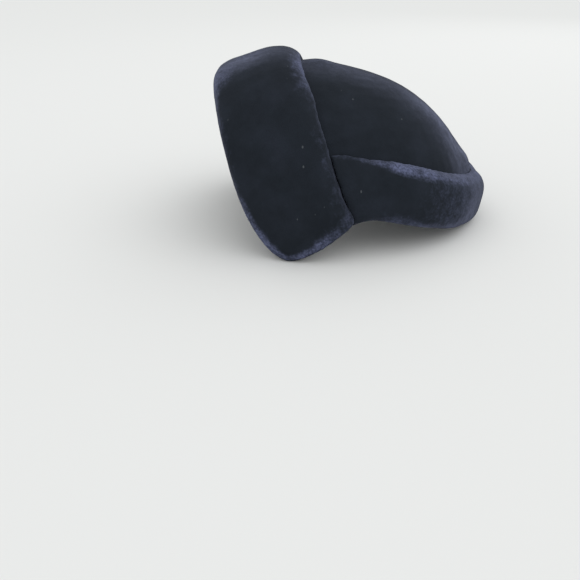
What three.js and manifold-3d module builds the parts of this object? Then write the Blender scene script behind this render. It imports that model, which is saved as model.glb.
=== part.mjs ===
// A padded velvet pillbox cap: a hollow domed crown, a wide front cuff that runs over the head from
// ear to ear and ends in two hanging wings, and a turned-up back cuff that starts behind the wings.
// Millimetres, +Z up. +X is the wearer's left and -Y the wearer's front. The cap rests on the two
// wings and on the back cuff, with the origin on that surface under the middle of its box.

import * as THREE from "three";
import { mergeVertices } from "three/addons/utils/BufferGeometryUtils.js";
import Module from "manifold-3d";

// Driving dimensions

// The crown's outside is a dome of quarter ellipses about one centre, in the cap's own upright
// frame: x to the wearer's left, y to the back and z up along the crown's axis.
const CROWN_WIDTH = 149.3; // ear to ear
const CROWN_FRONT = 99.1; // centre to the front
const CROWN_BACK = 92.5; // centre to the back
const CROWN_HEIGHT = 67.6; // centre to the top
const CROWN_WALL = 2.2;
const DRAW_IN = 0.032; // how much narrower the crown is, as a share, at DRAW_IN_DEPTH below the centre
const DRAW_IN_DEPTH = 40;

// Each long edge of the front cuff is drawn on the dome by a flat fan of rays.
const FRONT_CUFF_WIDTH = 56.3; // front edge to back edge
const FRONT_CUFF_LENGTH = 272; // over the head, from one wing's end to the other's
const FRONT_CUFF_THICKNESS = 7.6;
const FRONT_CUFF_CAMBER = 0.24; // extra thickness along its middle, as a share
const FAN_CENTRE = { y: -0.269 * CROWN_BACK, z: 0.606 * CROWN_HEIGHT }; // of the back edge's fan
const FAN = {
  front: { lean: 123.7, reach: 133.3 }, // degrees from +y upwards, and from the middle to the end
  back: { lean: 128.1, reach: 124.4 },
};
const WING_CORNER = { across: 21.6, along: 46.6 }; // radii of the wing's rounded front corner
const FRONT_ROLL = { radius: 5, edge: 0.37 }; // rounding of an edge, and the share of thickness there
const BACK_ROLL = { radius: 9, edge: 0.25 };

// The back cuff's long edges, as heights along the crown's axis.
const BACK_CUFF_BOTTOM = { front: -10.4, side: 1.3, back: 2.1 };
const BACK_CUFF_TOP = { front: 7, side: 32.4, back: 32 };
const BACK_CUFF_DIP = { depth: 5.5, start: 72, full: 90 }; // of the bottom edge, to meet the wing
const BACK_CUFF_THICKNESS = 7.9;
const BACK_CUFF_FLARE = 0.15; // thicker at the top and thinner at the bottom by this share
const BACK_CUFF_END = 106; // degrees round from the back, hidden by the front cuff
const TUCK = { thickness: 0.4, start: 58, full: 92 }; // thinner where it goes under the front cuff
const BOTTOM_ROLL = { radius: 10, edge: 0.15 };
const TOP_ROLL = { radius: 9, edge: 0.2 };

const RIM_COVER = 6.8; // how far each cuff's free edge stands past the crown's edge
const INNER_ROLL = { radius: 3, edge: 0 }; // rounding of a cuff's free edge towards the head
const EDGE_FACE = 1; // the narrow face left between the outer and the inner roll
const GAP = 0.35; // between pieces that touch
const PRESSED = 0.8; // cloth flattened where the cap rests

// Fineness of the faceted surfaces
const CORNER_STEPS = 8; // round a wing's corner
const FRONT_STEPS = 10; // from there to the middle of the head
const BACK_STEPS = 40; // round the back cuff
const CROWN_ROWS = 12; // from the crown's top to its edge

const velvet = new THREE.MeshStandardMaterial({ color: 0x23273a, roughness: 0.9, metalness: 0 });

const wasm = await Module();
wasm.setup();

const radians = THREE.MathUtils.degToRad;
const { lerp, clamp, smoothstep } = THREE.MathUtils;

// Below 1 inside the dome grown by an offset, and above 1 outside it.
function domeValue(point, offset) {
  const depth = point.y > 0 ? CROWN_BACK : CROWN_FRONT;
  const across = (point.x / (CROWN_WIDTH / 2 + offset)) ** 2;
  const along = (point.y / (depth + offset)) ** 2;
  if (point.z > 0) return across + along + (point.z / (CROWN_HEIGHT + offset)) ** 2;
  const narrowing = 1 - DRAW_IN * (point.z / DRAW_IN_DEPTH) ** 2;
  return (across + along) / narrowing ** 2;
}

// Where a ray from inside meets the dome grown by an offset.
function reach(from, direction, offset) {
  const point = new THREE.Vector3();
  let near = 0;
  let far = 2 * (CROWN_FRONT + CROWN_HEIGHT);
  for (let step = 0; step < 36; step++) {
    const distance = (near + far) / 2;
    point.copy(from).addScaledVector(direction, distance);
    if (domeValue(point, offset) < 1) near = distance;
    else far = distance;
  }
  return point;
}

// The share of full thickness at a distance from an edge that is rolled over.
function rolled(distance, { radius, edge }) {
  const rest = 1 - clamp(distance / radius, 0, 1);
  return edge + (1 - edge) * Math.sqrt(1 - rest * rest);
}

// How far round its fan a place on the front cuff is, 0 in the middle and 1 at the wing's end.
// The fan turns slowly over the head and faster along the wings: length grows as (2t + t^3) / 3.
function fanShare(fromEnd) {
  const length = 1 - (2 * fromEnd) / FRONT_CUFF_LENGTH;
  let share = length;
  for (let step = 0; step < 8; step++) {
    share -= (2 * share + share ** 3 - 3 * length) / (2 + 3 * share ** 2);
  }
  return share;
}

// A point of the front cuff, `across` from its front edge and `fromEnd` from a wing's end.
function frontCuffPoint({ across, fromEnd, side }, offset) {
  const share = across / FRONT_CUFF_WIDTH;
  const backLean = radians(FAN.back.lean);
  const forward = FRONT_CUFF_WIDTH - across;
  const centre = new THREE.Vector3(
    0,
    FAN_CENTRE.y - Math.sin(backLean) * forward,
    FAN_CENTRE.z + Math.cos(backLean) * forward,
  );
  const lean = radians(lerp(FAN.front.lean, FAN.back.lean, share));
  const turn = side * fanShare(fromEnd) * radians(lerp(FAN.front.reach, FAN.back.reach, share));
  const up = Math.cos(turn);
  const direction = new THREE.Vector3(Math.sin(turn), up * Math.cos(lean), up * Math.sin(lean));
  return reach(centre, direction, offset);
}

// Distance from the front cuff's free edge: its front edge, the wing's corner and the wing's end.
function fromFreeEdge({ across, fromEnd }) {
  const x = (WING_CORNER.across - across) / WING_CORNER.across;
  const y = (WING_CORNER.along - fromEnd) / WING_CORNER.along;
  if (x <= 0) return fromEnd;
  if (y <= 0) return across;
  const radius = Math.hypot(x, y);
  return ((1 - radius) * radius) / Math.hypot(x / WING_CORNER.across, y / WING_CORNER.along);
}

// The front cuff's free edge moved in by an inset, as stations from the wing's end to the middle.
function frontStations(inset) {
  const across = WING_CORNER.across - inset;
  const along = WING_CORNER.along - inset;
  const stations = [];
  for (let i = 0; i <= CORNER_STEPS; i++) {
    const angle = (Math.PI / 2) * (1 - i / CORNER_STEPS);
    stations.push({
      start: WING_CORNER.across - across * Math.cos(angle),
      fromEnd: WING_CORNER.along - along * Math.sin(angle),
    });
  }
  for (let i = 1; i <= FRONT_STEPS; i++) {
    const fromEnd = lerp(WING_CORNER.along, FRONT_CUFF_LENGTH / 2, i / FRONT_STEPS);
    stations.push({ start: inset, fromEnd });
  }
  return stations;
}

// Places from 0 to a width: close together in the rolls at both ends, and even between them.
function placesAcross(width, startRadius, endRadius, evenSteps) {
  const rollSteps = 4;
  const start = Math.min(startRadius, width * 0.3);
  const end = Math.min(endRadius, width * 0.4);
  const places = [];
  for (let i = 0; i < rollSteps; i++) {
    places.push(start * (1 - Math.cos(((i / rollSteps) * Math.PI) / 2)));
  }
  for (let i = 0; i <= evenSteps; i++) places.push(lerp(start, width - end, i / evenSteps));
  for (let i = 1; i <= rollSteps; i++) {
    places.push(width - end * (1 - Math.sin(((i / rollSteps) * Math.PI) / 2)));
  }
  return places;
}

// A closed solid from points and triangles, whichever way round they run.
function solidFrom(points, triangles) {
  const geometry = new THREE.BufferGeometry().setFromPoints(points).setIndex(triangles);
  const merged = mergeVertices(geometry, 1e-4);
  const build = (triVerts) =>
    new wasm.Manifold(
      new wasm.Mesh({
        numProp: 3,
        vertProperties: merged.getAttribute("position").array,
        triVerts,
      }),
    );
  const solid = build(new Uint32Array(merged.index.array));
  return solid.volume() > 0 ? solid : build(new Uint32Array(merged.index.array).reverse());
}

// A band between two sheets of equal rows of points, closed all round its edge.
function solidBetween(outer, inner) {
  const rows = outer.length;
  const columns = outer[0].length;
  const points = [...outer.flat(), ...inner.flat()];
  const under = rows * columns;
  const at = (row, column) => row * columns + column;
  const triangles = [];
  const quad = (a, b, c, d) => triangles.push(a, b, c, a, c, d);
  for (let row = 0; row + 1 < rows; row++) {
    for (let column = 0; column + 1 < columns; column++) {
      const corners = [at(row, column), at(row, column + 1), at(row + 1, column + 1), at(row + 1, column)];
      quad(...corners);
      quad(...corners.reverse().map((corner) => corner + under));
    }
  }
  const wall = (a, b) => quad(b, a, a + under, b + under);
  for (let column = 0; column + 1 < columns; column++) {
    wall(at(0, column), at(0, column + 1));
    wall(at(rows - 1, column + 1), at(rows - 1, column));
  }
  for (let row = 0; row + 1 < rows; row++) {
    wall(at(row + 1, 0), at(row, 0));
    wall(at(row, columns - 1), at(row + 1, columns - 1));
  }
  return solidFrom(points, triangles);
}

// The front cuff before the crown is cut out of it, its inner face a depth under the dome.
// An allowance makes it larger all round.
function frontBand(depth, allowance) {
  const half = frontStations(0);
  const stations = [
    ...half.map((station) => ({ ...station, side: -1 })),
    ...half.slice(0, -1).reverse().map((station) => ({ ...station, side: 1 })),
  ];
  const outer = [];
  const inner = [];
  for (const { start, fromEnd, side } of stations) {
    const width = FRONT_CUFF_WIDTH - start;
    const end = 1 - Math.min(1, fromEnd / WING_CORNER.along);
    const outerRow = [];
    const innerRow = [];
    for (const place of placesAcross(width, FRONT_ROLL.radius, BACK_ROLL.radius, 5)) {
      const spot = { across: start + place, fromEnd, side };
      const edge = fromFreeEdge(spot);
      const full = 1 + FRONT_CUFF_CAMBER * Math.sin((Math.PI * place) / width);
      const backRoll = rolled(width - place, BACK_ROLL);
      const height = FRONT_CUFF_THICKNESS * full * rolled(edge, FRONT_ROLL) * backRoll;
      const edgeHeight = FRONT_CUFF_THICKNESS * full * FRONT_ROLL.edge * backRoll - EDGE_FACE;
      const grown = {
        across: spot.across + allowance * ((2 * place) / width - 1),
        fromEnd: fromEnd - allowance * end,
        side,
      };
      outerRow.push(frontCuffPoint(grown, height + allowance));
      innerRow.push(frontCuffPoint(grown, lerp(edgeHeight, -depth, rolled(edge, INNER_ROLL))));
    }
    outer.push(outerRow);
    inner.push(innerRow);
  }
  return solidBetween(outer, inner);
}

// Height of one of the back cuff's edges at an angle round from the back.
function edgeHeight({ front, side, back }, angle) {
  const toBack = Math.cos(angle);
  return side + ((back - front) / 2) * toBack + ((back + front) / 2 - side) * toBack ** 2;
}

// Height of the back cuff's bottom edge, which dips to meet the wings.
function bottomHeight(angle) {
  const { depth, start, full } = BACK_CUFF_DIP;
  return edgeHeight(BACK_CUFF_BOTTOM, angle) - depth * smoothstep(Math.abs(angle), radians(start), radians(full));
}

// A point of the dome grown by an offset, at an angle round from the back and a height.
function domePoint(angle, height, offset) {
  const depth = Math.cos(angle) > 0 ? CROWN_BACK : CROWN_FRONT;
  const across = Math.sin(angle) / (CROWN_WIDTH / 2 + offset);
  const along = Math.cos(angle) / (depth + offset);
  const above = 1 - (height / (CROWN_HEIGHT + offset)) ** 2;
  const below = 1 - DRAW_IN * (height / DRAW_IN_DEPTH) ** 2;
  const radius = (height > 0 ? Math.sqrt(above) : below) / Math.hypot(across, along);
  return new THREE.Vector3(radius * Math.sin(angle), radius * Math.cos(angle), height);
}

// The back cuff before the crown and the front cuff are cut out of it.
function backBand(depth) {
  const outer = [];
  const inner = [];
  for (let i = 0; i <= BACK_STEPS; i++) {
    const angle = radians(lerp(-BACK_CUFF_END, BACK_CUFF_END, i / BACK_STEPS));
    const bottom = bottomHeight(angle);
    const width = edgeHeight(BACK_CUFF_TOP, angle) - bottom;
    const tucked = smoothstep(Math.abs(angle), radians(TUCK.start), radians(TUCK.full));
    const tuck = lerp(1, TUCK.thickness, tucked);
    const outerRow = [];
    const innerRow = [];
    for (const place of placesAcross(width, BOTTOM_ROLL.radius, TOP_ROLL.radius, 3)) {
      const flare = 1 + BACK_CUFF_FLARE * ((2 * place) / width - 1);
      const full = BACK_CUFF_THICKNESS * tuck * flare * rolled(width - place, TOP_ROLL);
      const low = full * BOTTOM_ROLL.edge - EDGE_FACE;
      outerRow.push(domePoint(angle, bottom + place, full * rolled(place, BOTTOM_ROLL)));
      innerRow.push(domePoint(angle, bottom + place, lerp(low, -depth, rolled(place, INNER_ROLL))));
    }
    outer.push(outerRow);
    inner.push(innerRow);
  }
  return solidBetween(outer, inner);
}

// The crown's edge on the dome, all the way round: under the wings' free edges and the front edge,
// then inside the back cuff's bottom edge, each moved in by an inset.
function crownEdge(inset) {
  const half = [];
  const end = frontStations(inset)[0];
  for (let i = 0; i < 3; i++) {
    const across = lerp(FRONT_CUFF_WIDTH - RIM_COVER, end.start, i / 3);
    half.push(frontCuffPoint({ across, fromEnd: inset, side: 1 }, 0));
  }
  for (const { start, fromEnd } of frontStations(inset)) {
    half.push(frontCuffPoint({ across: start, fromEnd, side: 1 }, 0));
  }
  const first = half[0];
  const firstAngle = Math.atan2(first.x, first.y);
  const backSteps = 14;
  const back = [];
  for (let i = 1; i <= backSteps; i++) {
    const angle = firstAngle * (1 - i / backSteps);
    const joined = clamp((firstAngle - angle) / radians(12), 0, 1);
    const height = bottomHeight(angle) + inset;
    back.unshift(domePoint(angle, lerp(first.z, height, joined), 0));
  }
  const left = [...back, ...half];
  const mirrored = left.slice(1, -1).reverse().map(({ x, y, z }) => new THREE.Vector3(-x, y, z));
  return [...left, ...mirrored];
}

// The dome's shell between two offsets, from its top down to an edge curve.
function domeShell(edge, outside, inside) {
  const top = new THREE.Vector3(0, 0, 1);
  const centre = new THREE.Vector3();
  const count = edge.length;
  const points = [reach(centre, top, outside), reach(centre, top, inside)];
  const triangles = [];
  const at = (column, row, sheet) => 2 + ((column % count) * CROWN_ROWS + row - 1) * 2 + sheet;
  edge.forEach((point) => {
    const end = point.clone().normalize();
    const turn = top.angleTo(end);
    const axis = top.clone().cross(end).normalize();
    for (let row = 1; row <= CROWN_ROWS; row++) {
      const direction = top.clone().applyAxisAngle(axis, (turn * row) / CROWN_ROWS);
      points.push(reach(centre, direction, outside), reach(centre, direction, inside));
    }
  });
  for (let column = 0; column < count; column++) {
    const next = column + 1;
    triangles.push(0, at(column, 1, 0), at(next, 1, 0), 1, at(next, 1, 1), at(column, 1, 1));
    for (let row = 1; row < CROWN_ROWS; row++) {
      const outer = [at(column, row, 0), at(column, row + 1, 0), at(next, row + 1, 0), at(next, row, 0)];
      const inner = outer.map((corner) => corner + 1).reverse();
      for (const [a, b, c, d] of [outer, inner]) triangles.push(a, b, c, a, c, d);
    }
    const [a, b] = [at(column, CROWN_ROWS, 0), at(next, CROWN_ROWS, 0)];
    triangles.push(a, a + 1, b + 1, a, b + 1, b);
  }
  return solidFrom(points, triangles);
}

// The largest body of a cut solid.
function mainBody(solid) {
  return solid.decompose().sort((a, b) => b.volume() - a.volume())[0];
}

const crown = domeShell(crownEdge(RIM_COVER), 0, -CROWN_WALL);
const crownSpace = domeShell(crownEdge(RIM_COVER - GAP), GAP, -2 * CROWN_WALL);
const frontCuff = mainBody(frontBand(CROWN_WALL, 0).subtract(crownSpace));
const frontSpace = frontBand(3 * CROWN_WALL, GAP);
const backCuff = mainBody(backBand(CROWN_WALL).subtract(crownSpace).subtract(frontSpace));

// A solid's corner points.
function cornersOf(solid) {
  const { numProp, vertProperties } = solid.getMesh();
  const corners = [];
  for (let i = 0; i < vertProperties.length; i += numProp) {
    corners.push(new THREE.Vector3().fromArray(vertProperties, i));
  }
  return corners;
}

// The lean that brings the lowest points of the wings and of the back cuff level.
const xAxis = new THREE.Vector3(1, 0, 0);
const lowest = (corners) => corners.reduce((low, corner) => (corner.z < low.z ? corner : low));
const leaned = (solid, lean) => cornersOf(solid).map((corner) => corner.applyAxisAngle(xAxis, lean));
let lean = 0;
for (let step = 0; step < 12; step++) {
  const wing = lowest(leaned(frontCuff, lean));
  const back = lowest(leaned(backCuff, lean));
  lean -= Math.atan2(back.z - wing.z, back.y - wing.y);
}

// The surface that the cap rests on, pressed a little into the cloth.
const floor = lowest(leaned(frontCuff, lean)).z + PRESSED;
const floorNormal = new THREE.Vector3(0, 0, 1).applyAxisAngle(xAxis, -lean);
const rested = (solid) => solid.trimByPlane(floorNormal.toArray(), floor);

function meshOf(name, solid) {
  const { numProp, vertProperties, triVerts } = solid.getMesh();
  const positions = new THREE.BufferAttribute(new Float32Array(vertProperties), numProp);
  const geometry = new THREE.BufferGeometry().setAttribute("position", positions);
  geometry.setIndex(new THREE.BufferAttribute(new Uint32Array(triVerts), 1));
  geometry.computeVertexNormals();
  const mesh = new THREE.Mesh(geometry, velvet);
  mesh.name = name;
  return mesh;
}

const cap = new THREE.Group();
cap.rotation.x = lean;
cap.add(meshOf("crown", crown));
cap.add(meshOf("front_cuff", rested(frontCuff)));
cap.add(meshOf("back_cuff", rested(backCuff)));
cap.updateMatrixWorld(true);
const box = new THREE.Box3().setFromObject(cap, true);
cap.position.set(0, -(box.min.y + box.max.y) / 2, -floor);

export default cap;
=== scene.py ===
# A padded velvet pillbox cap on a pale floor: crown, front cuff with ear wings and back cuff.
# Metres, +X to the wearer's left, -Y to the wearer's front, +Z up.

import math
import bpy
import numpy as np
from mathutils import Matrix, Vector, noise
from mathutils.bvhtree import BVHTree


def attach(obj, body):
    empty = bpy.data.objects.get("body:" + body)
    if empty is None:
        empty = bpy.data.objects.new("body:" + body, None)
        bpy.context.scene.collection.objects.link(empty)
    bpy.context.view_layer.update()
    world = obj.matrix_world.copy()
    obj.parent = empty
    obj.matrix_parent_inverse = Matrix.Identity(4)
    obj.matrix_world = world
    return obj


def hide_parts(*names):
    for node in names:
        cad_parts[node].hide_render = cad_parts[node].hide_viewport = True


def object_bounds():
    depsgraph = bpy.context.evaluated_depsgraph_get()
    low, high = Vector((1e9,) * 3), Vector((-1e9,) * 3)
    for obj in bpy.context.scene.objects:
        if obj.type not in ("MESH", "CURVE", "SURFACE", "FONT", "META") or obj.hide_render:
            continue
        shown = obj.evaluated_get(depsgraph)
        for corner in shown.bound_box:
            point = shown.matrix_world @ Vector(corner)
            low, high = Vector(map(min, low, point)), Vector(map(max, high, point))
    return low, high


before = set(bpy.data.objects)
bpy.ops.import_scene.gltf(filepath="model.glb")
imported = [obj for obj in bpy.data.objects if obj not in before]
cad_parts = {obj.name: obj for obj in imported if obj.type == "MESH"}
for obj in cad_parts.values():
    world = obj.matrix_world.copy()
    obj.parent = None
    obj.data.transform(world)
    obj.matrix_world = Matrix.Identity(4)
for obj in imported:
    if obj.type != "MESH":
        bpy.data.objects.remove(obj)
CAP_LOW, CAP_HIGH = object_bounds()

bl_info = {
    "name": "Velvet Pillbox Cap",
    "version": (1, 0, 0),
    "blender": (4, 5, 0),
    "location": "View3D > Sidebar > Cap",
    "description": "Makes a padded velvet pillbox cap over its measured solids",
    "category": "Add Mesh",
}

MILLIMETRE = 0.001
MERGE_DISTANCE = 0.01 * MILLIMETRE
PADDING_FRAMES = 20

# The cap's lean at rest, and where the middle of its rim's plane is then.
LEAN = math.radians(-18.17)
RIM_MIDDLE = (0, -12.63 * MILLIMETRE, 26.35 * MILLIMETRE)

# A place in the hollow that the cloth faces or turns its back on.
HOLLOW_MIDDLE = (0, -10 * MILLIMETRE, 30 * MILLIMETRE)

# Soft pushes on each piece's cloth, in millimetres, in the cap's place at rest. Each has its place on
# the wearer's left, which counts for the right too, how far round it is felt, and how far it goes:
# out from the head, or along (across, back, up).
CROWN_SWELLS = (
    {"at": (12, 73, 38), "reach": 12, "out": 3.0},
    {"at": (7, 33, 79), "reach": 22, "out": 0.9},
    {"at": (18, 52, 62), "reach": 14, "out": 0.9},
    {"at": (14, 68, 47), "reach": 8, "out": -1.1},
    {"at": (0, -22, 97), "reach": 10, "out": 1.9},
)
BACK_CUFF_SWELLS = (
    {"at": (14, 80, 29), "reach": 13, "out": 1.5},
    {"at": (6, 75, 34), "reach": 10, "along": (0, 0.2, -1.3)},
    {"at": (33, 78, 14), "reach": 10, "out": -0.5},
    {"at": (42, 71, 10), "reach": 11, "out": -0.7},
    {"at": (75, -6, 21), "reach": 6, "along": (0, -0.5, -1.6)},
    {"at": (75, -3, 36), "reach": 10, "out": 1.1},
)
FRONT_CUFF_SWELLS = (
    {"at": (80, -8, 22), "reach": 7, "along": (0, 2.2, 0.3)},
    {"at": (5, -50, 104), "reach": 26, "out": 0.5},
    {"at": (9, -65, 102), "reach": 11, "out": -1.2},
    {"at": (28, -79, 92), "reach": 9, "out": 0.5},
    {"at": (14, -79, 95), "reach": 9, "out": 0.8},
    {"at": (82, -27, 9), "reach": 12, "along": (0, 0.5, -0.4)},
    {"at": (47, -29.5, 87), "reach": 12, "along": (0, 1.4, 0)},
    {"at": (68, -23, 66), "reach": 16, "along": (0, 0.5, 0)},
)

# Spots where the front cuff's pile is rubbed and where a highlight or sheen is painted on it, placed as the
# pushes are.
FRONT_CUFF_RUBS_AND_HIGHLIGHTS = (
    {"at": (23, -33, 98), "reach": 7, "share": 0.3},
    {"at": (25, -79, 92), "reach": 11, "share": 0.42},
    {"at": (77, -54, 11), "reach": 9, "share": 0.22},
    {"at": (83, -24, 13), "reach": 8, "share": 0.1},
)


class CapPaddingSettings(bpy.types.PropertyGroup):
    """Sizes of the crown's and the cuffs' fine surfaces"""

    crown_grain: bpy.props.FloatProperty(
        name="Crown mesh",
        description="Spacing of the crown's fine mesh",
        default=1.2 * MILLIMETRE,
        subtype="DISTANCE",
    )
    cuff_grain: bpy.props.FloatProperty(
        name="Cuff mesh",
        description="Spacing of the cuffs' mesh while they are padded",
        default=1.5 * MILLIMETRE,
        subtype="DISTANCE",
    )
    front_let_out: bpy.props.FloatProperty(
        name="Front cuff let out",
        description="How far the front cuff's cover is let out for meshing, and taken in again after",
        default=0.05 * MILLIMETRE,
        subtype="DISTANCE",
    )
    back_let_out: bpy.props.FloatProperty(
        name="Back cuff let out",
        description="The same for the back cuff, more so that its thin tucked ends are kept",
        default=1.0 * MILLIMETRE,
        subtype="DISTANCE",
    )
    slack: bpy.props.FloatProperty(
        name="Slack",
        description="How far a cuff's cover stands off its solid before it is padded",
        default=0.4 * MILLIMETRE,
        subtype="DISTANCE",
    )
    puff: bpy.props.FloatProperty(
        name="Padding rise",
        description="The most that padding may push a cuff's cover out or draw it in",
        default=0.9 * MILLIMETRE,
        subtype="DISTANCE",
    )
    pressure: bpy.props.FloatProperty(
        name="Padding pressure", description="Pressure of the padding inside a cuff", default=4.0
    )
    clearance: bpy.props.FloatProperty(
        name="Clearance",
        description="Room that a cuff keeps from the pieces beside it",
        default=0.15 * MILLIMETRE,
        subtype="DISTANCE",
    )
    waves: bpy.props.FloatProperty(
        name="Waves",
        description="How far the cloth rises and dips by hand work",
        default=0.35 * MILLIMETRE,
        subtype="DISTANCE",
    )


class CapVelvetSettings(bpy.types.PropertyGroup):
    """Colours and pile of the velvet, with its painted highlight and sheen"""

    pile: bpy.props.FloatVectorProperty(
        name="Pile",
        description="Colour looking into the pile",
        subtype="COLOR",
        size=3,
        default=(0.0135, 0.0172, 0.0235),
        min=0,
        max=1,
    )
    # The crushed pile's colour is also the painted highlight on up-facing rolls and the painted sheen behind.
    crushed_and_highlight: bpy.props.FloatVectorProperty(
        name="Crushed pile and highlight",
        description="Colour where the pile has been pressed or rubbed along a fold",
        subtype="COLOR",
        size=3,
        default=(0.088, 0.100, 0.170),
        min=0,
        max=1,
    )
    # Painted sheen: the colour mixed in where the cloth turns away from the view.
    tip_sheen: bpy.props.FloatVectorProperty(
        name="Pile tip sheen",
        description="Colour of the pile's tips, seen from the side",
        subtype="COLOR",
        size=3,
        default=(0.115, 0.127, 0.192),
        min=0,
        max=1,
    )
    sheen: bpy.props.FloatVectorProperty(
        name="Sheen",
        description="Colour of the light along the pile's tips",
        subtype="COLOR",
        size=3,
        default=(0.035, 0.038, 0.055),
        min=0,
        max=1,
    )
    spread: bpy.props.FloatProperty(
        name="Sheen spread", description="Roughness of the sheen", default=0.4, min=0, max=1, subtype="FACTOR"
    )


class CapStageSettings(bpy.types.PropertyGroup):
    """Camera, floor and light"""

    reach: bpy.props.FloatProperty(
        name="Camera distance", description="From the cap's middle plane", default=0.401, subtype="DISTANCE"
    )
    ahead: bpy.props.FloatProperty(
        name="Camera ahead", description="In front of the cap's middle", default=0.0388, subtype="DISTANCE"
    )
    height: bpy.props.FloatProperty(
        name="Camera height", description="Above the floor", default=0.1567, subtype="DISTANCE"
    )
    pitch: bpy.props.FloatProperty(
        name="Camera pitch", description="Downwards", default=math.radians(28.6), subtype="ANGLE"
    )
    roll: bpy.props.FloatProperty(
        name="Camera roll",
        description="With the cap's own lean at rest",
        default=math.radians(-0.857),
        subtype="ANGLE",
    )
    lens: bpy.props.FloatProperty(
        name="Lens", description="Focal length", default=38.5, subtype="DISTANCE_CAMERA"
    )


def deselect():
    """Leaves nothing selected."""
    if bpy.context.object and bpy.context.object.mode != "OBJECT":
        bpy.ops.object.mode_set(mode="OBJECT")
    bpy.ops.object.select_all(action="DESELECT")


def choose(piece):
    """Makes a piece the only one selected."""
    deselect()
    piece.select_set(True)
    bpy.context.view_layer.objects.active = piece


def copy_of_node(node):
    """A new velvet piece with a merged copy of a node's mesh."""
    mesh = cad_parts[node].data.copy()
    mesh.materials.clear()
    piece = bpy.data.objects.new("velvet_" + node, mesh)
    bpy.context.scene.collection.objects.link(piece)
    choose(piece)
    bpy.ops.object.mode_set(mode="EDIT")
    bpy.ops.mesh.select_all(action="SELECT")
    bpy.ops.mesh.remove_doubles(threshold=MERGE_DISTANCE)
    bpy.ops.object.mode_set(mode="OBJECT")
    return piece


def modify(piece, kind, **values):
    """Adds a modifier to a piece and applies it."""
    choose(piece)
    bpy.ops.object.modifier_add(type=kind)
    modifier = piece.modifiers[-1]
    for name, value in values.items():
        setattr(modifier, name, value)
    bpy.ops.object.modifier_apply(modifier=modifier.name)


def places_of(piece):
    """A piece's vertices as rows of numbers."""
    rows = np.empty(len(piece.data.vertices) * 3)
    piece.data.vertices.foreach_get("co", rows)
    return rows.reshape(-1, 3)


def normals_of(piece):
    """The directions that a piece's vertices face."""
    rows = np.empty(len(piece.data.vertices) * 3)
    piece.data.vertex_normals.foreach_get("vector", rows)
    return rows.reshape(-1, 3)


def set_places(piece, rows):
    """Moves a piece's vertices."""
    piece.data.vertices.foreach_set("co", rows.ravel())
    piece.data.update()


def fade(value, start, end):
    """A soft step from 0 at start to 1 at end."""
    share = np.clip((value - start) / (end - start), 0, 1)
    return share * share * (3 - 2 * share)


def pad(piece, settings, cover, stand_out, loose):
    """Puffs a cuff's cover up with padding: it stands out from its solid, and moves where it is loose."""
    let_out = places_of(piece)
    facing = normals_of(piece)
    final = let_out - facing * (cover - stand_out)
    before = let_out - facing * (cover - settings.slack)
    set_places(piece, before)
    choose(piece)
    bpy.ops.object.modifier_add(type="CLOTH")
    cloth = piece.modifiers[-1]
    cloth.settings.use_pressure = True
    cloth.settings.uniform_pressure_force = settings.pressure
    cloth.settings.effector_weights.gravity = 0
    cloth.settings.quality = 5
    cloth.settings.mass = 0.2
    cloth.point_cache.frame_start = 1
    cloth.point_cache.frame_end = PADDING_FRAMES
    scene = bpy.context.scene
    for number in range(1, PADDING_FRAMES + 1):
        scene.frame_set(number)
    choose(piece)
    bpy.ops.object.modifier_apply(modifier=cloth.name)
    scene.frame_set(1)
    move = places_of(piece) - before
    rise = (move * facing).sum(axis=1)
    move -= facing * np.median(rise[loose > 0.5])
    length = np.linalg.norm(move, axis=1, keepdims=True)
    move *= np.minimum(1, settings.puff / np.maximum(length, 1e-9)) * loose[:, None]
    set_places(piece, final + move)


def wave(piece, height, spacing, seed):
    """Lets a piece's cloth rise and dip a little, softly."""
    places = places_of(piece)
    away = Vector((seed, 2.7 * seed, -seed))
    rise = np.array([noise.noise(Vector(place) / spacing + away) for place in places])
    set_places(piece, places + normals_of(piece) * (rise * height)[:, None])


def upright(places):
    """Places in the cap's own upright frame, in millimetres, with its two sides folded together."""
    moved = (places - RIM_MIDDLE) / MILLIMETRE
    across = abs(moved[:, 0])
    back = moved[:, 1] * math.cos(LEAN) + moved[:, 2] * math.sin(LEAN)
    up = moved[:, 2] * math.cos(LEAN) - moved[:, 1] * math.sin(LEAN)
    return across, back, up


def outside(piece):
    """1 where a piece's cloth faces away from the cap's middle and 0 where it faces the head."""
    depth = ((places_of(piece) - HOLLOW_MIDDLE) * normals_of(piece)).sum(axis=1)
    return fade(depth, 0, 12 * MILLIMETRE)


def nearness(places, at, reach):
    """How near places are to a point, given in millimetres for the wearer's left, on either side."""
    folded = places / MILLIMETRE
    folded[:, 0] = abs(folded[:, 0])
    return np.exp(-(((folded - at) / reach) ** 2).sum(axis=1))


def swell(piece, swells):
    """Pushes a piece's cloth out, in or along around the given places, on both sides alike."""
    places = places_of(piece)
    facing = normals_of(piece) * (2 * outside(piece) - 1)[:, None]
    side = np.where(places[:, :1] < 0, -1, 1)
    moved = places.copy()
    for push in swells:
        share = nearness(places, push["at"], push["reach"])[:, None]
        moved += facing * share * push.get("out", 0) * MILLIMETRE
        across, back, up = push.get("along", (0, 0, 0))
        moved += share * np.hstack((side * across, side * 0 + back, side * 0 + up)) * MILLIMETRE
    set_places(piece, moved)


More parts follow.
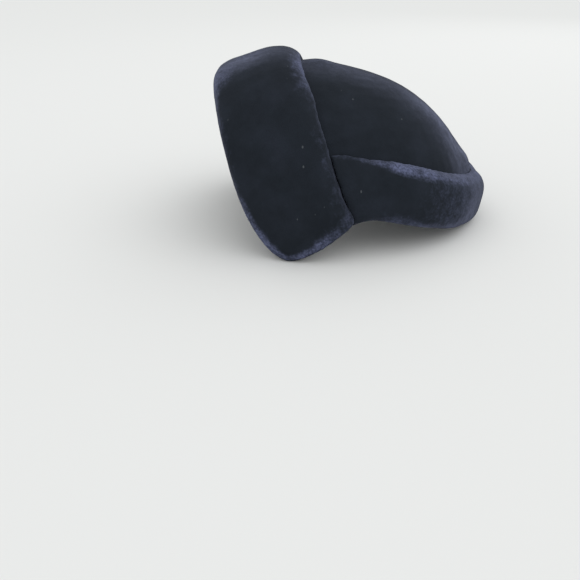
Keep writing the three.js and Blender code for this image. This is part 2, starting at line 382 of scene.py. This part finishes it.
def keep_clear(piece, neighbours, clearance):
    """Draws a piece's cloth back where it would run into its neighbours, looking from just inside it."""
    depth = 1.5 * MILLIMETRE
    for name in neighbours:
        tree = BVHTree.FromObject(bpy.data.objects[name], bpy.context.evaluated_depsgraph_get())
        places = places_of(piece)
        facing = normals_of(piece)
        for number, place in enumerate(places):
            outward = Vector(facing[number])
            start = Vector(place) - outward * depth
            _, met, _, away = tree.ray_cast(start, outward, depth + clearance)
            if met is not None and met.dot(outward) < 0:
                places[number] -= facing[number] * (depth + clearance - away)
        set_places(piece, places)


def rest_on_floor(piece):
    """Keeps a soft piece on its flat resting faces."""
    places = places_of(piece)
    places[:, 2] = np.maximum(places[:, 2], 0)
    set_places(piece, places)


def fold_edges(piece, rounds):
    """How far each vertex stands out at a fold, in millimetres."""
    mesh = piece.data
    ends = np.empty(len(mesh.edges) * 2, dtype=np.int64)
    mesh.edges.foreach_get("vertices", ends)
    ends = ends.reshape(-1, 2)
    places = places_of(piece)
    count = np.bincount(ends.ravel(), minlength=len(places))[:, None]
    even = places.copy()
    for _ in range(rounds):
        total = np.zeros_like(even)
        for axis in range(3):
            total[:, axis] += np.bincount(ends[:, 0], even[ends[:, 1], axis], len(even))
            total[:, axis] += np.bincount(ends[:, 1], even[ends[:, 0], axis], len(even))
        even = 0.5 * even + 0.5 * total / np.maximum(count, 1)
    return ((places - even) * normals_of(piece)).sum(axis=1) / MILLIMETRE


def mark(piece, name, values):
    """Writes a value between 0 and 1 at each vertex for the velvet to read."""
    layer = piece.data.attributes.new(name, "FLOAT", "POINT")
    layer.data.foreach_set("value", np.clip(values, 0, 1).astype(np.float32))


def finish_piece(piece, node):
    """Shades a piece, gives it its velvet and sets it in its node's place."""
    choose(piece)
    bpy.ops.object.shade_smooth()
    piece.data.materials.append(velvet_material("Velvet of the " + node.replace("_", " ")))
    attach(piece, "root")
    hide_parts(node)


def new_socket(group, name, way, kind, default=None):
    """Adds a named socket to a shader node group."""
    socket = group.interface.new_socket(name=name, in_out=way, socket_type=kind)
    if default is not None:
        socket.default_value = default
    return socket


def feed(tree, socket, value):
    """Sets a node's socket, or links it where the value is another node's socket."""
    if isinstance(value, bpy.types.NodeSocket):
        tree.links.new(value, socket)
    else:
        socket.default_value = value


def mix_colours(tree, first, second, factor, blend="MIX"):
    """Adds a node that blends two colours."""
    node = tree.nodes.new("ShaderNodeMix")
    node.data_type = "RGBA"
    node.blend_type = blend
    feed(tree, node.inputs["Factor"], factor)
    feed(tree, node.inputs["A"], first)
    feed(tree, node.inputs["B"], second)
    return node.outputs["Result"]


def pile_group():
    """The shader node group of a velvet pile: its colour, with crushed pile and painted highlight, its share
    of painted tip sheen, and its normal.
    """
    group = bpy.data.node_groups.get("Velvet pile")
    if group:
        return group
    group = bpy.data.node_groups.new("Velvet pile", "ShaderNodeTree")
    new_socket(group, "Pile", "INPUT", "NodeSocketColor", (0.015, 0.018, 0.025, 1))
    new_socket(group, "Crushed pile and highlight", "INPUT", "NodeSocketColor", (0.10, 0.11, 0.19, 1))
    new_socket(group, "Lint", "INPUT", "NodeSocketColor", (0.10, 0.11, 0.12, 1))
    new_socket(group, "Crushing and highlight", "INPUT", "NodeSocketFloat", 0.0)
    new_socket(group, "Tip sheen share", "INPUT", "NodeSocketFloat", 1.0)
    new_socket(group, "Color", "OUTPUT", "NodeSocketColor")
    new_socket(group, "Tip sheen", "OUTPUT", "NodeSocketFloat")
    new_socket(group, "Normal", "OUTPUT", "NodeSocketVector")
    nodes, links = group.nodes, group.links
    given = nodes.new("NodeGroupInput")
    result = nodes.new("NodeGroupOutput")
    place = nodes.new("ShaderNodeTexCoord")

    # The cloth's place in the cap's own upright frame, drawn out along the pile.
    def along_pile(stretch):
        turned = nodes.new("ShaderNodeMapping")
        turned.inputs["Rotation"].default_value = (LEAN, 0, 0)
        turned.inputs["Scale"].default_value = stretch
        links.new(place.outputs["Object"], turned.inputs["Vector"])
        return turned.outputs["Vector"]

    def pattern(scale, detail, roughness=0.5, distortion=0.0, stretch=(1, 1, 1)):
        node = nodes.new("ShaderNodeTexNoise")
        node.inputs["Scale"].default_value = scale
        node.inputs["Detail"].default_value = detail
        node.inputs["Roughness"].default_value = roughness
        node.inputs["Distortion"].default_value = distortion
        links.new(along_pile(stretch), node.inputs["Vector"])
        return node.outputs["Fac"]

    def calculate(operation, first, second=None, third=None):
        node = nodes.new("ShaderNodeMath")
        node.operation = operation
        for socket, value in zip(node.inputs, (first, second, third)):
            if value is not None:
                feed(group, socket, value)
        return node.outputs["Value"]

    def soft_step(value, start, end):
        node = nodes.new("ShaderNodeMapRange")
        node.interpolation_type = "SMOOTHSTEP"
        node.inputs["From Min"].default_value = start
        node.inputs["From Max"].default_value = end
        links.new(value, node.inputs["Value"])
        return node.outputs["Result"]

    broad = pattern(scale=45, detail=2)
    mottle = pattern(scale=230, detail=3, roughness=0.62, distortion=0.4)
    streaks = pattern(scale=150, detail=3, roughness=0.6, distortion=0.2, stretch=(1, 1, 0.4))
    grain = pattern(scale=720, detail=2, roughness=0.6)
    fibres = pattern(scale=1900, detail=2, roughness=0.6)

    # Rubbed pile and the painted highlight are patchy, the more so the stronger they are.
    uneven = calculate("MULTIPLY_ADD", mottle, 0.5, calculate("MULTIPLY", streaks, 0.3))
    uneven = calculate("MULTIPLY_ADD", grain, 0.25, uneven)
    steep = calculate("MULTIPLY", given.outputs["Crushing and highlight"], given.outputs["Crushing and highlight"])
    patchy = calculate("MULTIPLY_ADD", steep, 2.0, 0.75)
    patchy = calculate("MULTIPLY", calculate("SUBTRACT", uneven, 0.53), patchy)
    patches = soft_step(calculate("ADD", patchy, given.outputs["Crushing and highlight"]), 0.12, 1.05)
    crushing_and_highlight = calculate("MULTIPLY", patches, soft_step(given.outputs["Crushing and highlight"], 0.0, 0.2))

    # The standing pile's own colour, with a faint bloom, and the rubbed pile's colour over it, which also
    # paints the highlight and sheen.
    shade = calculate("MULTIPLY_ADD", broad, 0.5, calculate("MULTIPLY_ADD", mottle, 0.35, 0.58))
    standing = mix_colours(group, given.outputs["Pile"], shade, 1, "MULTIPLY")
    glints = calculate("MULTIPLY_ADD", soft_step(grain, 0.32, 0.68), 0.6, 0.7)
    rubbed_and_highlit = mix_colours(group, given.outputs["Crushed pile and highlight"], glints, 1, "MULTIPLY")
    bloom = calculate("MULTIPLY", soft_step(broad, 0.45, 0.7), 0.025)
    colour = mix_colours(group, standing, rubbed_and_highlit, calculate("MAXIMUM", crushing_and_highlight, bloom))

    # A few specks of lint, each of its own size and strength.
    cells = nodes.new("ShaderNodeTexVoronoi")
    cells.inputs["Scale"].default_value = 190
    links.new(along_pile((1, 1, 0.5)), cells.inputs["Vector"])
    chosen = nodes.new("ShaderNodeSeparateColor")
    links.new(cells.outputs["Color"], chosen.inputs["Color"])
    width = calculate("MULTIPLY_ADD", chosen.outputs["Green"], 0.06, 0.05)
    speck = calculate("LESS_THAN", cells.outputs["Distance"], width)
    speck = calculate("MULTIPLY", speck, calculate("GREATER_THAN", chosen.outputs["Red"], 0.66))
    speck = calculate("MULTIPLY", speck, calculate("MULTIPLY_ADD", chosen.outputs["Blue"], 0.5, 0.12))
    links.new(mix_colours(group, colour, given.outputs["Lint"], speck), result.inputs["Color"])

    # Share of the painted tip sheen, patchy like the pile.
    tip_sheen = calculate("MULTIPLY_ADD", soft_step(uneven, 0.32, 0.72), 0.6, 0.4)
    links.new(calculate("MULTIPLY", tip_sheen, given.outputs["Tip sheen share"]), result.inputs["Tip sheen"])

    normal = None
    for height, distance, strength in (
        (broad, 1.0 * MILLIMETRE, 0.35),
        (mottle, 0.35 * MILLIMETRE, 0.45),
        (fibres, 0.1 * MILLIMETRE, 0.7),
    ):
        bump = nodes.new("ShaderNodeBump")
        bump.inputs["Distance"].default_value = distance
        bump.inputs["Strength"].default_value = strength
        links.new(height, bump.inputs["Height"])
        if normal:
            links.new(normal, bump.inputs["Normal"])
        normal = bump.outputs["Normal"]
    links.new(normal, result.inputs["Normal"])
    return group


def velvet_material(name):
    """Deep navy velvet, with painted sheen where its tips show from the side, and paler where its pile is
    crushed or a highlight is painted.
    """
    settings = bpy.context.scene.cap_velvet
    material = bpy.data.materials.new(name)
    material.use_nodes = True
    tree = material.node_tree
    nodes, links = tree.nodes, tree.links
    shader = nodes["Principled BSDF"]
    pile = nodes.new("ShaderNodeGroup")
    pile.node_tree = pile_group()
    pile.inputs["Pile"].default_value = (*settings.pile, 1)
    pile.inputs["Crushed pile and highlight"].default_value = (*settings.crushed_and_highlight, 1)
    for name, socket in (("Crushed", "Crushing and highlight"), ("Tipped", "Tip sheen share")):
        layer = nodes.new("ShaderNodeAttribute")
        layer.attribute_name = name
        links.new(layer.outputs["Fac"], pile.inputs[socket])

    # Painted sheen: the tips' colour shows where the cloth turns away from the view, and less again at its
    # very edge.
    side = nodes.new("ShaderNodeLayerWeight")
    side.inputs["Blend"].default_value = 0.5
    edge = nodes.new("ShaderNodeValToRGB")
    edge.color_ramp.interpolation = "EASE"
    edge.color_ramp.elements[0].position = 0.42
    edge.color_ramp.elements[1].position = 0.78
    last = edge.color_ramp.elements.new(0.97)
    last.color = (0.35, 0.35, 0.35, 1)
    links.new(side.outputs["Facing"], edge.inputs["Fac"])
    share = nodes.new("ShaderNodeMath")
    share.operation = "MULTIPLY"
    links.new(edge.outputs["Color"], share.inputs[0])
    links.new(pile.outputs["Tip sheen"], share.inputs[1])
    with_tip_sheen = mix_colours(tree, pile.outputs["Color"], (*settings.tip_sheen, 1), share.outputs["Value"])

    links.new(with_tip_sheen, shader.inputs["Base Color"])
    links.new(pile.outputs["Normal"], shader.inputs["Normal"])
    shader.inputs["Roughness"].default_value = 0.95
    shader.inputs["Specular IOR Level"].default_value = 0.1
    shader.inputs["Sheen Weight"].default_value = 1.0
    shader.inputs["Sheen Roughness"].default_value = settings.spread
    shader.inputs["Sheen Tint"].default_value = (*settings.sheen, 1)
    return material


class CAP_OT_crown(bpy.types.Operator):
    """Makes the crown: a hollow dome of stiffened velvet"""

    bl_idname = "cap.crown"
    bl_label = "Crown"

    def execute(self, context):
        settings = context.scene.cap_padding
        piece = copy_of_node("crown")
        modify(piece, "REMESH", mode="VOXEL", voxel_size=settings.crown_grain, adaptivity=0)
        modify(piece, "SMOOTH", factor=0.5, iterations=10)
        swell(piece, CROWN_SWELLS)

        # Painted sheen, hazy behind and a little over the top beside the front cuff; the painted tip sheen is
        # stronger behind as well.
        across, back, _ = upright(places_of(piece))
        behind_sheen = fade(back, 14, 50) * fade(across, 52, 12) * (1 - 0.3 * fade(back, 58, 80))
        ridge_sheen = nearness(places_of(piece), (0, -20, 97), 18)
        mark(piece, "Crushed", outside(piece) * (0.3 * behind_sheen + 0.26 * ridge_sheen))
        mark(piece, "Tipped", 0.35 + 0.65 * behind_sheen + 0.12 * ridge_sheen)
        finish_piece(piece, "crown")
        return {"FINISHED"}


def make_cuff(node, neighbours, seed, cover, stand_out, swells):
    """A padded velvet cuff from its node's solid, clear of the pieces made before it."""
    settings = bpy.context.scene.cap_padding
    piece = copy_of_node(node)
    set_places(piece, places_of(piece) + normals_of(piece) * cover)
    modify(piece, "REMESH", mode="VOXEL", voxel_size=settings.cuff_grain, adaptivity=0)
    modify(piece, "SMOOTH", factor=0.5, iterations=3)
    _, back, _ = upright(places_of(piece))
    tucked_in = fade(back, 6, -6) if node == "back_cuff" else 0 * back
    pad(piece, settings, cover, stand_out, 1 - tucked_in)
    modify(piece, "SUBSURF", levels=1, render_levels=1)
    modify(piece, "SMOOTH", factor=0.5, iterations=3)
    swell(piece, swells)
    wave(piece, settings.waves, 22 * MILLIMETRE, seed)
    keep_clear(piece, neighbours, settings.clearance)
    rest_on_floor(piece)
    return piece


class CAP_OT_front_cuff(bpy.types.Operator):
    """Makes the padded front cuff with its two wings"""

    bl_idname = "cap.front_cuff"
    bl_label = "Front cuff"

    def execute(self, context):
        piece = make_cuff(
            "front_cuff",
            neighbours=["velvet_crown"],
            seed=1.3,
            cover=context.scene.cap_padding.front_let_out,
            stand_out=0.35 * MILLIMETRE,
            swells=FRONT_CUFF_SWELLS,
        )

        # Rubbed pile along its folds, most of all low down and faintly underneath at the back, partly painted
        # sheen there; painted sheen along the folds behind its top and a painted highlight all over its top
        # in front; rubbed spots and painted highlights at the listed places; none of it on faces that turn
        # down.
        places = places_of(piece)
        side, back, height = (places / MILLIMETRE).T
        folds = fade(fold_edges(piece, 80), 0.1, 0.5)
        low = fade(height, 52, 18) * fade(back, -12, -28)
        top_highlight = fade(abs(side), 30, 8) * fade(back, -46, -62) * fade(height, 84, 92)
        behind_sheen = fade(back, -44, -36) * fade(height, 84, 96)
        under = fade(back, -40, -16) * fade(height, 40, 22)
        rubbed_and_highlit = sum(rub["share"] * nearness(places, rub["at"], rub["reach"]) for rub in FRONT_CUFF_RUBS_AND_HIGHLIGHTS)
        worn_and_highlit = folds * (0.27 + 0.38 * low + 0.4 * behind_sheen) + 0.36 * top_highlight + 0.12 * under + rubbed_and_highlit
        rolled_under = fade(normals_of(piece)[:, 2], -0.4, -0.85)
        mark(piece, "Crushed", worn_and_highlit * outside(piece) * (1 - rolled_under))
        mark(piece, "Tipped", 0.26 + 0.46 * fade(back, -42, -66) * fade(height, 60, 85))
        finish_piece(piece, "front_cuff")
        return {"FINISHED"}


class CAP_OT_back_cuff(bpy.types.Operator):
    """Makes the padded back cuff"""

    bl_idname = "cap.back_cuff"
    bl_label = "Back cuff"

    def execute(self, context):
        piece = make_cuff(
            "back_cuff",
            neighbours=["velvet_crown", "velvet_front_cuff"],
            seed=4.1,
            cover=context.scene.cap_padding.back_let_out,
            stand_out=0.45 * MILLIMETRE,
            swells=BACK_CUFF_SWELLS,
        )

        # Painted highlight along its upper edge where it faces up, the most a third of the way round, and
        # painted sheen behind and along its lower edge, partly rubbed pile there.
        _, back, up = upright(places_of(piece))
        facing = normals_of(piece)
        upward = facing[:, 2] * math.cos(LEAN) - facing[:, 1] * math.sin(LEAN)
        reach = 0.35 + 0.2 * fade(back, 0, 16) + 0.5 * fade(back, 16, 24) - 0.45 * fade(back, 28, 38)
        reach += 0.2 * fade(abs(back - 43), 7, 2)
        # Painted highlight where the cuff faces up, as far round as reach lets it go.
        top_highlight = fade(upward, 0.5, 0.88) * reach
        bottom_sheen_and_rub = fade(up, 16, 4) * fade(back, 14, 30) * 0.5
        behind_sheen = fade(back, 16, 70) * outside(piece)
        mark(piece, "Crushed", np.maximum(top_highlight, np.maximum(bottom_sheen_and_rub, 0.34 * behind_sheen)))
        mark(piece, "Tipped", 0.26 + 0.28 * fade(back, 26, 66))
        finish_piece(piece, "back_cuff")
        return {"FINISHED"}


def add_light(name, place, target, size, power):
    """A square soft light at a place, turned to a target."""
    direction = Vector(target) - Vector(place)
    turn = direction.to_track_quat("-Z", "Y").to_euler()
    bpy.ops.object.light_add(type="AREA", location=place, rotation=turn)
    light = bpy.context.object
    light.name = name
    light.data.shape = "SQUARE"
    light.data.size = size
    light.data.energy = power


class CAP_OT_stage(bpy.types.Operator):
    """Makes the floor, the soft light and the camera"""

    bl_idname = "cap.stage"
    bl_label = "Stage"

    def execute(self, context):
        settings = context.scene.cap_stage
        scene = context.scene
        deselect()
        bpy.ops.mesh.primitive_circle_add(vertices=96, radius=6, fill_type="NGON", location=(0, 0, 0))
        floor = context.object
        floor.name = "pale_floor"
        paint = bpy.data.materials.new("Pale floor")
        paint.use_nodes = True
        shader = paint.node_tree.nodes["Principled BSDF"]
        shader.inputs["Base Color"].default_value = (0.79, 0.795, 0.79, 1)
        shader.inputs["Roughness"].default_value = 1
        shader.inputs["Specular IOR Level"].default_value = 0
        floor.data.materials.append(paint)

        middle = (Vector(CAP_LOW) + Vector(CAP_HIGH)) / 2
        deselect()
        add_light("Overhead", place=(-0.35, 0.25, 1.1), target=middle, size=1.0, power=0.6)
        add_light("Behind", place=(-0.9, 0.6, 0.7), target=middle, size=0.8, power=0.7)
        deselect()
        bpy.ops.object.light_add(type="SUN", rotation=(math.radians(-25), math.radians(18), 0))
        sun = context.object
        sun.name = "Soft daylight"
        sun.data.energy = 0.6
        sun.data.angle = math.radians(70)

        world = bpy.data.worlds.new("Pale room")
        world.use_nodes = True
        world.node_tree.nodes["Background"].inputs["Color"].default_value = (0.99, 1, 0.995, 1)
        world.node_tree.nodes["Background"].inputs["Strength"].default_value = 0.85
        scene.world = world
        scene.view_settings.view_transform = "Standard"

        turn = (
            Matrix.Rotation(settings.roll, 4, "X")
            @ Matrix.Rotation(math.radians(90), 4, "Z")
            @ Matrix.Rotation(math.radians(90) - settings.pitch, 4, "X")
        )
        deselect()
        bpy.ops.object.camera_add(
            location=(settings.reach, -settings.ahead, settings.height), rotation=turn.to_euler()
        )
        camera = context.object
        camera.name = "Camera"
        camera.data.lens = settings.lens
        camera.data.sensor_width = 36
        camera.data.clip_start = 0.01
        scene.camera = camera
        return {"FINISHED"}


class CAP_PT_panel(bpy.types.Panel):
    """Lists the cap's pieces and its sizes"""

    bl_label = "Velvet pillbox cap"
    bl_idname = "CAP_PT_panel"
    bl_space_type = "VIEW_3D"
    bl_region_type = "UI"
    bl_category = "Cap"

    def draw(self, context):
        column = self.layout.column()
        for operator in OPERATORS:
            column.operator(operator.bl_idname)
        for settings in (context.scene.cap_padding, context.scene.cap_velvet, context.scene.cap_stage):
            for name in settings.__annotations__:
                column.prop(settings, name)


SETTINGS = {
    "cap_padding": CapPaddingSettings,
    "cap_velvet": CapVelvetSettings,
    "cap_stage": CapStageSettings,
}
OPERATORS = (CAP_OT_stage, CAP_OT_crown, CAP_OT_front_cuff, CAP_OT_back_cuff)


def register():
    """Makes the cap's settings, operators and panel known."""
    for settings in SETTINGS.values():
        bpy.utils.register_class(settings)
    for operator in OPERATORS:
        bpy.utils.register_class(operator)
    bpy.utils.register_class(CAP_PT_panel)
    for name, settings in SETTINGS.items():
        setattr(bpy.types.Scene, name, bpy.props.PointerProperty(type=settings))


def unregister():
    """Takes them away again."""
    for name in SETTINGS:
        delattr(bpy.types.Scene, name)
    bpy.utils.unregister_class(CAP_PT_panel)
    for operator in reversed(OPERATORS):
        bpy.utils.unregister_class(operator)
    for settings in reversed(tuple(SETTINGS.values())):
        bpy.utils.unregister_class(settings)


def main():
    """Makes the stage and the cap's pieces."""
    register()
    bpy.ops.cap.stage()
    bpy.ops.cap.crown()
    bpy.ops.cap.front_cuff()
    bpy.ops.cap.back_cuff()


if __name__ == "__main__":
    main()
